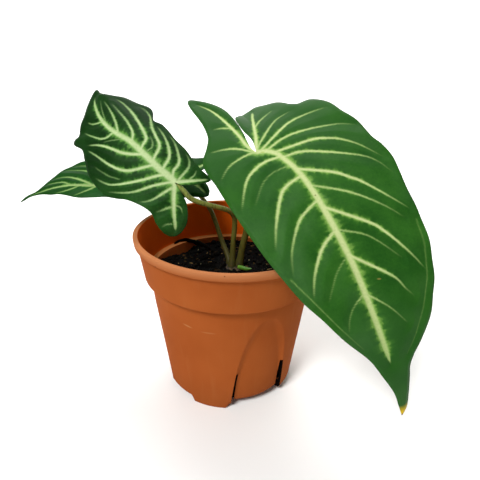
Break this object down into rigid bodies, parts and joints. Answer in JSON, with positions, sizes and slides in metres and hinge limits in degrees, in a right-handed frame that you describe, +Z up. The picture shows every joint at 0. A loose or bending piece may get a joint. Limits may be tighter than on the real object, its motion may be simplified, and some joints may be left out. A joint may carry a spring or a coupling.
{
  "type": "potted caladium",
  "caption": "Caladium with three arrow-shaped, pale-veined leaves, one of them large, growing in an 11 cm terracotta plastic pot.",
  "frame": {"origin": "bottom centre of the whole plant's bounding box, on the plane that the pot's three feet stand on", "axes": "+X from the tip of the back leaf towards the large front leaf, along the longest extent; +Y from the side that the plant faces to its back, along the shortest extent; +Z up along the pot's axis"},
  "size_m": [0.2191, 0.1197, 0.1649],
  "materials": {
    "terracotta_plastic": "satin moulded polypropylene",
    "peat": "rough damp peat",
    "tuber_skin": "matt fibrous skin",
    "leaf_blade": "satin leaf surface with pale veins",
    "leaf_stalk": "satin stalk skin",
    "young_shoot": "smooth young leaf"
  },
  "bodies": {
    "root": {"pot": "terracotta_plastic", "soil": "peat", "crown": "tuber_skin", "front_leaf_blade": "leaf_blade", "front_leaf_stalk": "leaf_stalk", "left_leaf_blade": "leaf_blade", "left_leaf_stalk": "leaf_stalk", "back_leaf_blade": "leaf_blade", "back_leaf_stalk": "leaf_stalk", "sprout": "young_shoot"}
  },
  "joints": []
}
